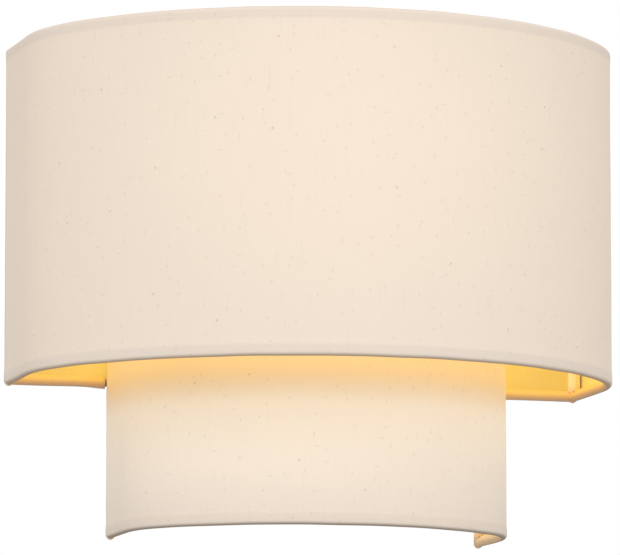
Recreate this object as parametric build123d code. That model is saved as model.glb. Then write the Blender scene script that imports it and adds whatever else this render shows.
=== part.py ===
from build123d import *
import math
import os
from dataclasses import dataclass

# A two-tier half-drum wall light: two cloth shades on one wire frame, hung on a wall fitting.
# Millimetres. X runs along the wall, +Y into the wall, +Z up.
# The origin is midway between the wall strap's two screw slots, on the wall plane.

# ---- driving sizes -------------------------------------------------------------------

# Upper shade
upper_width = 300.0
upper_depth = 168.0
upper_height = 169.5
upper_side = 45.0  # straight run of each side wall, from the back
upper_corner_radius = 86.0
upper_rim_drop = 75.0  # from the origin down to the upper shade's bottom rim

# Lower shade
lower_width = 196.5
lower_depth = 108.0
lower_side = 34.0
lower_corner_radius = 58.0
lower_drop = 76.0  # how far it shows below the upper shade
lower_overlap = 20.0  # how far it reaches up inside the upper shade

# Cloth and wire
wall_gap = 0.5  # between the wall and the back of the shade
cloth = 0.5
liner = 0.3
turn_in = 5.5  # height of the hem that is turned over the wire
wire_radius = 1.6
tie_radius = 1.25
wire_fit = 0.05  # between a wire and the hem round it
weld_bite = 0.2  # how deep two wires melt into each other
seam_tape_width = 10.0
notch_gap = 0.4  # beside a lower post, where it passes the rear panel's hem

# Hanger bar of the shade
hanger_height = 14.0
hanger_thick = 1.5
hanger_end_gap = 0.4
hook_width = 14.0
hook_depth = 10.0
hook_offset = 30.0
hook_play = 0.8  # all round a hook, in its slot
rest_gap = 0.2  # under the bar, where it sits on the wall plate
lift_travel = 12.0

# Wall plate, strap, studs and nuts
plate_width = 100.0
plate_height = 80.0
plate_depth = 18.0
plate_thick = 1.2
plate_corner_radius = 8.0
plate_edge_radius = 3.0
window_side_gap = 4.0  # beside the plate, in the rear panel
window_end_gap = 2.0  # above the plate, and below it with the shade lifted
strap_length = 92.0
strap_height = 20.0
strap_thick = 1.5
screw_spacing = 50.8
screw_slot_length = 12.0
screw_slot_width = 4.5
stud_spacing = 80.0
stud_radius = 2.0
stud_play = 0.4  # round a stud, in the plate
stud_fit = 0.08  # round a stud, in its washer and nut
stud_tail = 3.0  # beyond the nut
washer_radius = 4.5
washer_thick = 0.8
nut_radius = 6.0
nut_height = 8.0
nut_flutes = 24
nut_flute_depth = 0.5
seat_gap = 0.1  # behind a washer and behind a nut
earth_screw_x = 10.0
earth_head_radius = 3.6
earth_head_height = 2.2
driver_slot = 0.9  # width of a screwdriver slot

# Arm
lamp_reach = 60.0  # from the wall to the lamp's axis
arm_radius = 5.0
arm_bore = 3.8
arm_height = -28.0
arm_down_reach = 34.0
arm_low = -86.0
arm_bend = 12.0
arm_tail = 3.3  # inside the plate
collar_radius = 9.0
collar_thick = 3.0
lock_nut_flats = 14.0
lock_nut_thick = 2.6

# Bulb
bulb_height = 30.0  # height of the globe's centre
globe_radius = 30.0
globe_thick = 1.2
bulb_length = 108.0
globe_cut = 16.0  # from the globe's centre down to its seat on the collar
thread_pitch = 3.6
thread_crest = 13.2
thread_root = 12.1
thread_turns = 5
thread_start = 4.0  # from the bulb's tip up to the thread
cap_thick = 0.5
cap_height = 27.0
cap_tuck = 3.0  # of the cap inside the collar
tip_radius = 4.4
tip_height = 1.2
tip_flat_radius = 3.6
insulator_foot_radius = 6.0
insulator_rim = 0.6
bulb_foot_radius = 14.5
bulb_waist_swell = 3.4
ledge_width = 1.5
ledge_thick = 1.2
board_margin = 1.2  # from the board's edge to the inside of the collar's rim
board_thick = 1.6
chip_count = 12
chip_size = 2.8
chip_height = 0.7
chip_circle = 15.0

# Lampholder
thread_fit = 0.3  # between the bulb's thread and the holder's
contact_gap = 0.3  # between the bulb's tip and the holder's contact
contact_thick = 1.0
holder_radius = 20.0
holder_wall = 2.4
holder_mouth = 27.5  # from the bulb's tip up to the mouth
holder_split = 2.0  # from the bulb's tip up to the joint of cap and skirt
holder_cap_height = 20.0
holder_round = 8.0  # radius of the cap's rounded foot
holder_boss_radius = 8.5
holder_boss_height = 5.0
insulator_thick = 4.5
insulator_wall = 1.2
insulator_flange = 1.6
sleeve_thick = 0.4
grub_radius = 1.5
grub_proud = 0.8
rib_count = 24
rib_radius = 0.6
rib_low = 3.0
rib_high = 9.0

# Wiring
block_width = 16.0
block_depth = 12.0
block_pitch = 7.2
block_x = -26.0
block_z = -25.0
wire_hole_radius = 1.7
terminal_screw_radius = 1.75
terminal_screw_length = 3.4
terminal_screw_sink = 0.6
fixing_screw_radius = 1.4
fixing_head_radius = 2.8
fixing_head_height = 1.8
fixing_screw_bite = 6.0
lead_radius = 2.8
core_radius = 1.0
core_bend = 3.0
core_run = 3.0  # straight run in front of the block
core_bite = 4.0  # inside the block

# ---- places worked out from them -----------------------------------------------------

hem_radius = wire_radius + wire_fit + cloth
upper_bottom = -upper_rim_drop
lower_bottom = upper_bottom - lower_drop
upper_back = -wall_gap
lower_back = upper_back - (2 * wire_radius - weld_bite)
plate_top = plate_height / 2
plate_front = -plate_depth
plate_inside = plate_front + plate_thick
lamp_y = -lamp_reach
bulb_tip = bulb_height + globe_radius - bulb_length
thread_line = (thread_crest + thread_root) / 2


@dataclass
class Tier:
    """One shade: D-shaped in plan, flat at the back."""

    width: float
    depth: float
    side: float
    corner_radius: float
    back: float
    bottom: float
    top: float

    @property
    def height(self):
        return self.top - self.bottom

    @property
    def post_x(self):
        return self.width / 2 - hem_radius

    @property
    def post_y(self):
        return self.back - hem_radius

    @property
    def low_wire(self):
        return self.bottom + hem_radius

    @property
    def high_wire(self):
        return self.top - hem_radius

    @property
    def front_radius(self):
        """Radius of the front arc that meets both corner arcs smoothly."""
        half = self.width / 2
        reach = self.depth - self.side
        spare = 2 * (reach - self.corner_radius)
        return (half**2 + reach**2 - 2 * half * self.corner_radius) / spare

    @property
    def front_half_angle(self):
        """Degrees from straight ahead to where a corner arc starts."""
        across = self.width / 2 - self.corner_radius
        ahead = self.front_radius - (self.depth - self.side)
        return math.degrees(math.atan2(across, ahead))

    def front_point(self, angle, z):
        """Point on the hoop wire's front arc, at an angle from straight ahead."""
        turn = math.radians(angle)
        radius = self.front_radius - hem_radius
        centre_y = self.back - self.depth + self.front_radius
        return (radius * math.sin(turn), centre_y - radius * math.cos(turn), z)


upper = Tier(
    width=upper_width,
    depth=upper_depth,
    side=upper_side,
    corner_radius=upper_corner_radius,
    back=upper_back,
    bottom=upper_bottom,
    top=upper_bottom + upper_height,
)
lower = Tier(
    width=lower_width,
    depth=lower_depth,
    side=lower_side,
    corner_radius=lower_corner_radius,
    back=lower_back,
    bottom=lower_bottom,
    top=upper_bottom + lower_overlap,
)
hands = {"left": -1, "right": 1}
parts = {}


# ---- helpers -------------------------------------------------------------------------


def rod(start, end, radius):
    """Round bar between two points."""
    run = Vector(*end) - Vector(*start)
    return Solid.make_cylinder(radius, run.length, Plane(origin=start, z_dir=run))


def block(low, high):
    """Box between its lowest and highest corners."""
    size = [b - a for a, b in zip(low, high)]
    middle = [(a + b) / 2 for a, b in zip(low, high)]
    return Pos(*middle) * Box(*size)


def tube_along(path, radius):
    """Round section swept along a path of lines and arcs."""
    start = Plane(origin=path @ 0, z_dir=path % 0)
    return sweep(start * Circle(radius), path=path)


def turned(outline):
    """Solid of revolution about the lamp's axis, from an outline in radius and height."""
    return Pos(0, lamp_y, 0) * revolve(Plane.XZ * make_face(outline), Axis.Z)


def ring(inner, outer, low, high):
    """Flat-ended tube about the lamp's axis."""
    return turned(Polyline((inner, low), (outer, low), (outer, high), (inner, high), close=True))


def lamp_rod(radius, low, high):
    """Round bar on the lamp's axis."""
    return rod((0, lamp_y, low), (0, lamp_y, high), radius)


def shade_path(tier, inset, z, short=0):
    """Open D round the front, from the right rear post to the left one."""
    half = tier.width / 2 - inset
    start_y = tier.post_y - short
    corner_turn = 90 - tier.front_half_angle
    front_turn = 2 * tier.front_half_angle
    right = Line((half, start_y), (half, tier.back - tier.side))
    right_corner = JernArc(right @ 1, right % 1, tier.corner_radius - inset, -corner_turn)
    front = JernArc(right_corner @ 1, right_corner % 1, tier.front_radius - inset, -front_turn)
    left_corner = JernArc(front @ 1, front % 1, tier.corner_radius - inset, -corner_turn)
    left = Line(left_corner @ 1, (-half, start_y))
    return Pos(0, 0, z) * Wire([right, right_corner, front, left_corner, left])


def hem_curve():
    """Edges of one hem: round the wire, then straight back on to the liner."""
    centre = Vector(hem_radius, hem_radius)
    inner = hem_radius - cloth
    landing = Vector(cloth + liner, turn_in)
    reach = landing - centre
    angle = math.atan2(reach.Y, reach.X) - math.acos(inner / reach.length)
    away = Vector(math.cos(angle), math.sin(angle))
    wrap = 180 + math.degrees(angle)
    return [
        CenterArc(centre, hem_radius, 180, wrap),
        Line(centre + away * hem_radius, landing + away * cloth),
        Line(landing + away * cloth, landing),
        Line(landing, centre + away * inner),
        CenterArc(centre, inner, 180, wrap),
    ]


def hemmed_section(height):
    """Section of a cloth wall with a turned hem at both edges: x inward, y up."""
    bottom = hem_curve()
    middle = Plane(origin=(0, height / 2, 0), z_dir=(0, 1, 0))
    top = [mirror(edge, about=middle) for edge in bottom]
    outside = Line((0, hem_radius), (0, height - hem_radius))
    inside = Line((cloth, hem_radius), (cloth, height - hem_radius))
    return make_face(bottom + top + [outside, inside])


def liner_section(height):
    """Section of the liner behind the cloth, stopping short of the wires."""
    return Pos(cloth + liner / 2, height / 2) * Rectangle(liner, height - 4 * hem_radius)


def round_shade(tier, section):
    """Carries a section round the D, from post to post."""
    start = Plane((tier.width / 2, tier.post_y, tier.bottom), x_dir=(-1, 0, 0), z_dir=(0, 1, 0))
    return sweep(start * section, path=shade_path(tier, 0, tier.bottom))


def across_back(tier, section):
    """Carries a section straight across the back, from post to post."""
    start = Plane((tier.post_x, tier.back, tier.bottom), x_dir=(0, -1, 0), z_dir=(-1, 0, 0))
    return extrude(start * section, 2 * tier.post_x)


# ---- wire frame of each shade --------------------------------------------------------


def make_post(tier, side, radius=wire_radius, short=cloth + wire_fit):
    """Corner post, one cloth thickness short of both rims."""
    x = side * tier.post_x
    return rod((x, tier.post_y, tier.bottom + short), (x, tier.post_y, tier.top - short), radius)


def make_hoop(tier, z):
    """Hoop wire in a hem, ending against the posts."""
    hoop = tube_along(shade_path(tier, hem_radius, z, wire_radius - weld_bite), wire_radius)
    return hoop - make_post(tier, -1) - make_post(tier, 1)


def make_rail(tier, z):
    """Straight rear wire, ending against the posts."""
    end = tier.post_x - wire_radius + weld_bite
    rail = rod((-end, tier.post_y, z), (end, tier.post_y, z), wire_radius)
    return rail - make_post(tier, -1) - make_post(tier, 1)


parts["upper_bottom_hoop"] = make_hoop(upper, upper.low_wire)
parts["upper_top_hoop"] = make_hoop(upper, upper.high_wire)
parts["lower_bottom_hoop"] = make_hoop(lower, lower.low_wire)
parts["lower_top_hoop"] = make_hoop(lower, lower.high_wire)
parts["upper_bottom_rail"] = make_rail(upper, upper.low_wire) - parts["upper_bottom_hoop"]
parts["upper_top_rail"] = make_rail(upper, upper.high_wire) - parts["upper_top_hoop"]
parts["lower_top_rail"] = make_rail(lower, lower.high_wire) - parts["lower_top_hoop"]
for hand, side in hands.items():
    parts[f"upper_{hand}_post"] = make_post(upper, side)
    parts[f"lower_{hand}_post"] = make_post(lower, side) - parts["upper_bottom_rail"]


def make_tie(side, radius):
    """Straight tie from the lower shade's top hoop to the upper shade's bottom hoop."""
    angle = side * lower.front_half_angle
    start = lower.front_point(angle, lower.high_wire)
    end = upper.front_point(angle, upper.low_wire)
    return rod(start, end, radius)


for hand, side in hands.items():
    tie = make_tie(side, tie_radius)
    parts[f"{hand}_tie_bar"] = tie - parts["lower_top_hoop"] - parts["upper_bottom_hoop"]

# Hanger bar: a flat bar welded across the posts, with two hooks that drop into the wall plate.
hanger_back = upper.post_y - wire_radius + weld_bite
hanger_front = hanger_back - hanger_thick
hanger_low = plate_top + rest_gap
hanger_high = hanger_low + hanger_height
hanger_end = upper.width / 2 - cloth - liner - hanger_end_gap
hanger_bar = block(
    (-hanger_end, hanger_front, hanger_low),
    (hanger_end, hanger_back, hanger_high),
)
for x in (-hook_offset, hook_offset):
    hanger_bar += block(
        (x - hook_width / 2, hanger_front, hanger_low - hook_depth),
        (x + hook_width / 2, hanger_back, hanger_low),
    )
parts["hanger_bar"] = hanger_bar - parts["upper_left_post"] - parts["upper_right_post"]

# ---- cloth ---------------------------------------------------------------------------


def corner_room(tier):
    """Room at each rear corner for the wire ends: the hems' inner parts stop there."""
    inner_x = tier.post_x - hem_radius
    outer_x = tier.width / 2 - cloth
    front = tier.back - 2 * hem_radius
    back = tier.back - cloth
    hem_high = turn_in + cloth
    rooms = []
    for side in hands.values():
        near, far = sorted((side * inner_x, side * outer_x))
        for low, high in (
            (tier.bottom - cloth, tier.bottom + hem_high),
            (tier.top - hem_high, tier.top + cloth),
        ):
            rooms.append(block((near, front, low), (far, back, high)))
    return rooms


def fit_to_posts(wall, tier):
    """Cuts a wall back to the cloth sleeves round the posts."""
    for side in hands.values():
        wall -= make_post(tier, side, hem_radius + wire_fit, short=-cloth)
    return wall


def make_cover(tier, sections):
    """Hemmed cloth wall, clear of the corner wires and sleeves."""
    cover = sections(tier, hemmed_section(tier.height))
    for room in corner_room(tier):
        cover -= room
    return fit_to_posts(cover, tier)


upper_cover = make_cover(upper, round_shade)
lower_cover = make_cover(lower, round_shade)
rear_panel = make_cover(upper, across_back)
lower_liner = fit_to_posts(round_shade(lower, liner_section(lower.height)), lower)
rear_liner = fit_to_posts(across_back(upper, liner_section(upper.height)), upper)
parts["upper_liner"] = fit_to_posts(round_shade(upper, liner_section(upper.height)), upper)

# The tie bars pass through slits in the hems and in the lower liner.
for side in hands.values():
    slit = make_tie(side, tie_radius + wire_fit)
    upper_cover -= slit
    lower_cover -= slit
    lower_liner -= slit
parts["upper_cover"] = upper_cover
parts["lower_cover"] = lower_cover
parts["lower_liner"] = lower_liner

# Window for the wall plate, long enough for the plate to stay in it while the shade is lifted.
window_x = plate_width / 2 + window_side_gap
window = block(
    (-window_x, upper_back - hem_radius, -plate_top - lift_travel - window_end_gap),
    (window_x, 0, plate_top + window_end_gap),
)
# Notches in the rear hem, where the lower posts and their sleeves pass in front of it.
notch_x = hem_radius + notch_gap
for side in hands.values():
    rear_panel -= block(
        (side * lower.post_x - notch_x, lower.back - 2 * hem_radius, upper.bottom - cloth),
        (side * lower.post_x + notch_x, upper.back - cloth, upper.bottom + turn_in + cloth),
    )
parts["rear_panel"] = rear_panel - window
parts["rear_liner"] = rear_liner - window


def wire_gate(centre, reach):
    """Square hole in a sleeve for a wire, from its centre as far as the reach."""
    spans = [sorted((0, step)) if step else (-gate, gate) for step in reach]
    low = [middle + span[0] for middle, span in zip(centre, spans)]
    high = [middle + span[1] for middle, span in zip(centre, spans)]
    return block(low, high)


def make_binding(tier, side, wires):
    """Cloth sleeve round a corner post, closed at both ends, with a hole for each wire."""
    sleeve = make_post(tier, side, hem_radius, short=0)
    sleeve = fillet(sleeve.edges().filter_by(GeomType.CIRCLE), cloth)
    sleeve -= make_post(tier, side, wire_radius + wire_fit, short=cloth)
    for z, reach in wires:
        sleeve -= wire_gate((side * tier.post_x, tier.post_y, z), reach)
    return sleeve


gate = wire_radius + 2 * wire_fit
gate_reach = 2 * hem_radius
hanger_room = block(
    (-hanger_end - wire_fit, hanger_front - wire_fit, hanger_low - wire_fit),
    (hanger_end + wire_fit, hanger_back + wire_fit, hanger_high + wire_fit),
)
crossing_rail_room = block(
    (-upper.post_x, upper.post_y - gate, upper.low_wire - gate),
    (upper.post_x, upper.back, upper.low_wire + gate),
)
for hand, side in hands.items():
    forward = (0, -gate_reach, 0)
    inward = (-side * gate_reach, 0, 0)
    upper_wires = [(z, reach) for z in (upper.low_wire, upper.high_wire) for reach in (forward, inward)]
    lower_wires = [(lower.low_wire, forward), (lower.high_wire, forward), (lower.high_wire, inward)]
    parts[f"upper_{hand}_binding"] = make_binding(upper, side, upper_wires) - hanger_room
    parts[f"lower_{hand}_binding"] = make_binding(lower, side, lower_wires) - crossing_rail_room

# Seam tape: the edge of cloth folded round each rear post and stuck down on the liner.
tape_edge = turn_in + cloth
tape_x = upper.width / 2 - cloth - liner
tape_back = upper.post_y - hem_radius
for hand, side in hands.items():
    near, far = sorted((side * tape_x, side * (tape_x - liner)))
    parts[f"upper_{hand}_seam_tape"] = block(
        (near, tape_back - seam_tape_width, upper.bottom + tape_edge),
        (far, tape_back, upper.top - tape_edge),
    )

# ---- wall fitting --------------------------------------------------------------------

# Strap: flat steel with rounded ends, two screw slots, two studs and an earth screw.
stud_places = (-stud_spacing / 2, stud_spacing / 2)
washer_seat = plate_front - seat_gap
nut_seat = washer_seat - washer_thick - seat_gap
stud_end = nut_seat - nut_height - stud_tail
studs = [rod((x, 0, 0), (x, stud_end, 0), stud_radius) for x in stud_places]
earth_shank = rod((earth_screw_x, 0, 0), (earth_screw_x, -strap_thick, 0), stud_radius)
strap = extrude(Plane.XZ * SlotOverall(strap_length, strap_height), strap_thick)
screw_slot = extrude(Plane.XZ * SlotOverall(screw_slot_length, screw_slot_width), strap_thick)
for x in (-screw_spacing / 2, screw_spacing / 2):
    strap -= Pos(x, 0, 0) * screw_slot
for pin in studs + [earth_shank]:
    strap -= pin
parts["mounting_strap"] = strap
parts["strap_studs"] = Compound(studs)
head_front = -strap_thick - earth_head_height
earth_head = rod(
    (earth_screw_x, -strap_thick, 0),
    (earth_screw_x, head_front, 0),
    earth_head_radius,
)
earth_slot = block(
    (earth_screw_x - earth_head_radius, head_front, -driver_slot / 2),
    (earth_screw_x + earth_head_radius, head_front + driver_slot, driver_slot / 2),
)
parts["earth_screw"] = earth_shank + earth_head - earth_slot


def dish(inset):
    """Rounded block standing out from the wall, softened round its front face."""
    width = plate_width - 2 * inset
    height = plate_height - 2 * inset
    outline = RectangleRounded(width, height, plate_corner_radius - inset)
    solid = extrude(Plane.XZ * outline, plate_depth - inset)
    return fillet(solid.faces().sort_by(Axis.Y)[0].edges(), plate_edge_radius - inset)


# Wall plate: a pressed dish, open to the wall, with slots in its top for the hooks.
wall_plate = dish(0) - dish(plate_thick)
for x in (-hook_offset, hook_offset):
    wall_plate -= block(
        (x - hook_width / 2 - hook_play, hanger_front - hook_play, plate_top - 2 * plate_thick),
        (x + hook_width / 2 + hook_play, hanger_back + hook_play, plate_top),
    )
for x in stud_places:
    wall_plate -= rod((x, 0, 0), (x, -plate_depth, 0), stud_radius + stud_play)
arm_hole = rod((0, 0, arm_height), (0, 2 * plate_front, arm_height), arm_radius)
wall_plate -= arm_hole

# Washer and knurled thumb nut on each stud.
for hand, side in hands.items():
    x = side * stud_spacing / 2
    stud_room = rod((x, 0, 0), (x, stud_end, 0), stud_radius + stud_fit)
    washer = rod((x, washer_seat, 0), (x, washer_seat - washer_thick, 0), washer_radius)
    points = []
    for step in range(2 * nut_flutes):
        radius = nut_radius - nut_flute_depth * (step % 2)
        turn = math.pi * step / nut_flutes
        points.append((radius * math.cos(turn), radius * math.sin(turn)))
    knurl = extrude(Plane.XZ * make_face(Polyline(*points, close=True)), nut_height)
    parts[f"{hand}_nut_washer"] = washer - stud_room
    parts[f"{hand}_knurled_nut"] = Pos(x, nut_seat, 0) * knurl - stud_room

# Arm: a bent tube from the plate, down and forward, then up into the lampholder.
split = bulb_tip + holder_split
holder_floor = split - holder_cap_height
holder_foot = holder_floor - holder_boss_height
arm_top = holder_floor + holder_wall
insulator_top = bulb_tip - contact_gap - contact_thick
arm_corners = [
    (0, -arm_down_reach, arm_height),
    (0, -arm_down_reach, arm_low),
    (0, lamp_y, arm_low),
]
arm_start = (0, plate_inside + arm_tail, arm_height)
arm_end = (0, lamp_y, arm_top)
lead_start = (0, plate_front, arm_height)
lead_end = (0, lamp_y, insulator_top)
arm_path = FilletPolyline(arm_start, *arm_corners, arm_end, radius=arm_bend)
lead_path = FilletPolyline(lead_start, *arm_corners, lead_end, radius=arm_bend)
parts["arm_tube"] = tube_along(arm_path, arm_radius) - tube_along(arm_path, arm_bore)
parts["lamp_lead"] = tube_along(lead_path, lead_radius)
collar = rod(
    (0, plate_front, arm_height),
    (0, plate_front - collar_thick, arm_height),
    collar_radius,
)
collar = chamfer(collar.faces().sort_by(Axis.Y)[0].edges(), collar_thick / 3)
parts["arm_collar"] = collar - arm_hole
nut_plane = Plane((0, plate_inside, arm_height), z_dir=(0, 1, 0))
hexagon = RegularPolygon(lock_nut_flats / 2, 6, major_radius=False)
parts["arm_lock_nut"] = extrude(nut_plane * hexagon, lock_nut_thick) - arm_hole

# ---- lampholder ----------------------------------------------------------------------

holder_inner = holder_radius - holder_wall
flange_radius = holder_inner + holder_wall / 2
mouth = bulb_tip + holder_mouth
insulator_low = insulator_top - insulator_thick
sleeve_outer = thread_crest + thread_fit + sleeve_thick
cup_inner = sleeve_outer + thread_fit
cup_outer = cup_inner + insulator_wall

# Cap: a cup with a rounded foot and a boss that screws on to the arm.
round_x = holder_radius - holder_round
round_z = holder_floor + holder_round
holder_cap = turned([
    Line((arm_radius, holder_foot), (holder_boss_radius, holder_foot)),
    Line((holder_boss_radius, holder_foot), (holder_boss_radius, holder_floor)),
    Line((holder_boss_radius, holder_floor), (round_x, holder_floor)),
    CenterArc((round_x, round_z), holder_round, -90, 90),
    Line((holder_radius, round_z), (holder_radius, split)),
    Line((holder_radius, split), (holder_inner, split)),
    Line((holder_inner, split), (holder_inner, round_z)),
    CenterArc((round_x, round_z), holder_round - holder_wall, -90, 90),
    Line((round_x, arm_top), (arm_radius, arm_top)),
    Line((arm_radius, arm_top), (arm_radius, holder_foot)),
])
holder_cap -= lamp_rod(flange_radius, split - insulator_flange, split)
grub_z = (holder_foot + holder_floor) / 2
grub_end = holder_boss_radius + grub_proud
grub = rod((0, lamp_y, grub_z), (grub_end, lamp_y, grub_z), grub_radius)
parts["lampholder_cap"] = holder_cap - grub
parts["lampholder_grub_screw"] = grub - lamp_rod(arm_radius, holder_foot, holder_floor)

# Skirt: a plain tube with a ring of grip ribs.
skirt = ring(holder_inner, holder_radius, split, mouth)
for step in range(rib_count):
    rib = rod((holder_radius, 0, split + rib_low), (holder_radius, 0, split + rib_high), rib_radius)
    skirt += Pos(0, lamp_y, 0) * Rot(0, 0, 360 * step / rib_count) * rib
parts["lampholder_skirt"] = skirt

# Insulator: a cup whose flange is held between cap and skirt.
parts["lampholder_insulator"] = turned(Polyline(
    (lead_radius, insulator_low),
    (cup_outer, insulator_low),
    (cup_outer, split - insulator_flange),
    (flange_radius, split - insulator_flange),
    (flange_radius, split),
    (cup_inner, split),
    (cup_inner, insulator_top),
    (lead_radius, insulator_top),
    close=True,
))
contact_radius = lead_radius + contact_thick
parts["lampholder_contact"] = lamp_rod(contact_radius, insulator_top, insulator_top + contact_thick)


def thread_edges(offset, low):
    """Rounded screw thread as rings: one outward and one inward arc for each turn."""
    middle = thread_line + offset
    half = thread_pitch / 2
    edges = []
    for step in range(2 * thread_turns):
        swing = (thread_crest - thread_root) / 2 * (-1) ** step
        z = low + step * half
        edges.append(ThreePointArc((middle, z), (middle + swing, z + half / 2), (middle, z + half)))
    return edges


def thread_wall(inner, outer, low):
    """Thin threaded wall between two offsets from the bulb's own thread line."""
    high = low + thread_turns * thread_pitch
    ends = [
        Line((thread_line + inner, z), (thread_line + outer, z)) for z in (low, high)
    ]
    return turned(thread_edges(inner, low) + thread_edges(outer, low) + ends)


# Threaded sleeve, standing on the insulator.
thread_low = bulb_tip + thread_start
thread_high = thread_low + thread_turns * thread_pitch
sleeve = thread_wall(thread_fit, thread_fit + sleeve_thick, thread_low)
sleeve_inner = thread_line + thread_fit
sleeve += ring(sleeve_inner, sleeve_inner + sleeve_thick, insulator_top, thread_low)
parts["lampholder_thread_sleeve"] = sleeve

# ---- bulb ----------------------------------------------------------------------------

cap_top = bulb_tip + cap_height
bulb_cap = thread_wall(-cap_thick, 0, thread_low)
bulb_cap += ring(thread_line - cap_thick, thread_line, thread_high, cap_top)
parts["bulb_cap"] = bulb_cap
tip_top = bulb_tip + tip_height
tip_rim = bulb_tip + tip_height / 2
parts["bulb_contact"] = turned(Polyline(
    (0, bulb_tip), (tip_flat_radius, bulb_tip), (tip_radius, tip_rim), (tip_radius, tip_top), (0, tip_top),
    close=True,
))
parts["bulb_cap_insulator"] = turned(Polyline(
    (0, tip_top),
    (insulator_foot_radius, tip_top),
    (thread_line, thread_low - insulator_rim),
    (thread_line, thread_low),
    (0, thread_low),
    close=True,
))

# Collar: a flared body from the screw cap up to the globe's seat.
seat_z = bulb_height - globe_cut
seat_radius = math.sqrt(globe_radius**2 - globe_cut**2)
collar_low = cap_top - cap_tuck
collar_waist = (collar_low + seat_z) / 2
collar_wall = bulb_foot_radius - thread_line
waist_radius = bulb_foot_radius + bulb_waist_swell
collar_outer = ThreePointArc(
    (bulb_foot_radius, collar_low), (waist_radius, collar_waist), (seat_radius, seat_z)
)
collar_bore = Line((thread_line, collar_low), (thread_line, cap_top))
rim_inner = seat_radius - collar_wall
collar_inner = ThreePointArc(
    (thread_line, cap_top), (waist_radius - collar_wall, collar_waist), (rim_inner, seat_z)
)
bulb_collar = turned([
    collar_outer,
    Line((seat_radius, seat_z), (rim_inner, seat_z)),
    collar_inner,
    collar_bore,
    Line((thread_line, collar_low), (bulb_foot_radius, collar_low)),
])
board_low = seat_z - board_thick
board_radius = rim_inner - board_margin
ledge_low = board_low - ledge_thick
ledge = ring(board_radius - ledge_width, seat_radius - collar_wall / 2, ledge_low, board_low)
board = lamp_rod(board_radius, board_low, seat_z)
shell = turned([
    collar_outer,
    Line((seat_radius, seat_z), (0, seat_z)),
    Line((0, seat_z), (0, collar_low)),
    Line((0, collar_low), (bulb_foot_radius, collar_low)),
])
parts["bulb_collar"] = bulb_collar + (ledge & shell) - board
parts["bulb_board"] = board
chips = []
for step in range(chip_count):
    chip = Pos(chip_circle, 0, seat_z + chip_height / 2) * Box(chip_size, chip_size, chip_height)
    chips.append(Pos(0, lamp_y, 0) * Rot(0, 0, 360 * step / chip_count) * chip)
parts["bulb_light_chips"] = Compound(chips)
globe = Sphere(globe_radius) - Sphere(globe_radius - globe_thick)
below = Pos(0, 0, -globe_cut - globe_radius) * Box(
    4 * globe_radius, 4 * globe_radius, 2 * globe_radius
)
parts["bulb_globe"] = Pos(0, lamp_y, bulb_height) * (globe - below)

# ---- wiring inside the wall plate ----------------------------------------------------

block_left = block_x - block_width / 2
block_right = block_x + block_width / 2
block_back = plate_inside + block_depth
hole_y = plate_inside + block_depth / 2
terminal_block = block(
    (block_left, plate_inside, block_z - 1.5 * block_pitch),
    (block_right, block_back, block_z + 1.5 * block_pitch),
)
screw_back = block_back - terminal_screw_sink
screw_front = screw_back - terminal_screw_length
screws = []
for step in (-1, 0, 1):
    z = block_z + step * block_pitch
    terminal_block -= rod((block_left, hole_y, z), (block_right, hole_y, z), wire_hole_radius)
    for x in (block_x - block_width / 4, block_x + block_width / 4):
        terminal_block -= rod((x, hole_y, z), (x, block_back, z), terminal_screw_radius)
        screw = rod((x, screw_front, z), (x, screw_back, z), terminal_screw_radius)
        screws.append(screw - block(
            (x - terminal_screw_radius, screw_back - driver_slot, z - driver_slot / 3),
            (x + terminal_screw_radius, screw_back, z + driver_slot / 3),
        ))

# One screw through the plate holds the block, between two of its poles.
fixing_z = block_z + block_pitch / 2
head_seat = (block_x, plate_front, fixing_z)
head_end = (block_x, plate_front - fixing_head_height, fixing_z)
shank_end = (block_x, plate_front + fixing_screw_bite, fixing_z)
fixing_shank = rod(head_seat, shank_end, fixing_screw_radius)
fixing_slot = block(
    (block_x - fixing_head_radius, head_end[1], fixing_z - driver_slot / 2),
    (block_x + fixing_head_radius, head_end[1] + driver_slot, fixing_z + driver_slot / 2),
)
parts["terminal_fixing_screw"] = fixing_shank + rod(head_seat, head_end, fixing_head_radius) - fixing_slot
parts["terminal_block"] = terminal_block - fixing_shank
parts["terminal_screws"] = Compound(screws)
parts["wall_plate"] = wall_plate - fixing_shank

# Cores: out of the arm, across, and into the block's poles. Each has its place in the arm.
cores = {"neutral": (0.6, -1.9, -1), "live": (-1.2, 0.1, 0), "earth": (0.4, 1.6, 1)}
for name, (across, above, pole) in cores.items():
    z = block_z + pole * block_pitch
    core_path = FilletPolyline(
        (across, plate_front, arm_height + above),
        (across, hole_y, arm_height + above),
        (block_right + core_run, hole_y, z),
        (block_right - core_bite, hole_y, z),
        radius=core_bend,
    )
    parts[f"{name}_core"] = tube_along(core_path, core_radius)

# ---- files ---------------------------------------------------------------------------

os.makedirs("parts", exist_ok=True)
for name, solid in parts.items():
    solid.label = name
    export_step(solid, f"parts/{name}.step")
print(len(parts), "pieces")
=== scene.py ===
"""A lit two-tier wall light: cloth over wire frames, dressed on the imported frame.

Metres, in the frame's own axes: X along the wall, +Y into the wall, +Z up.
"""

import math

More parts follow.
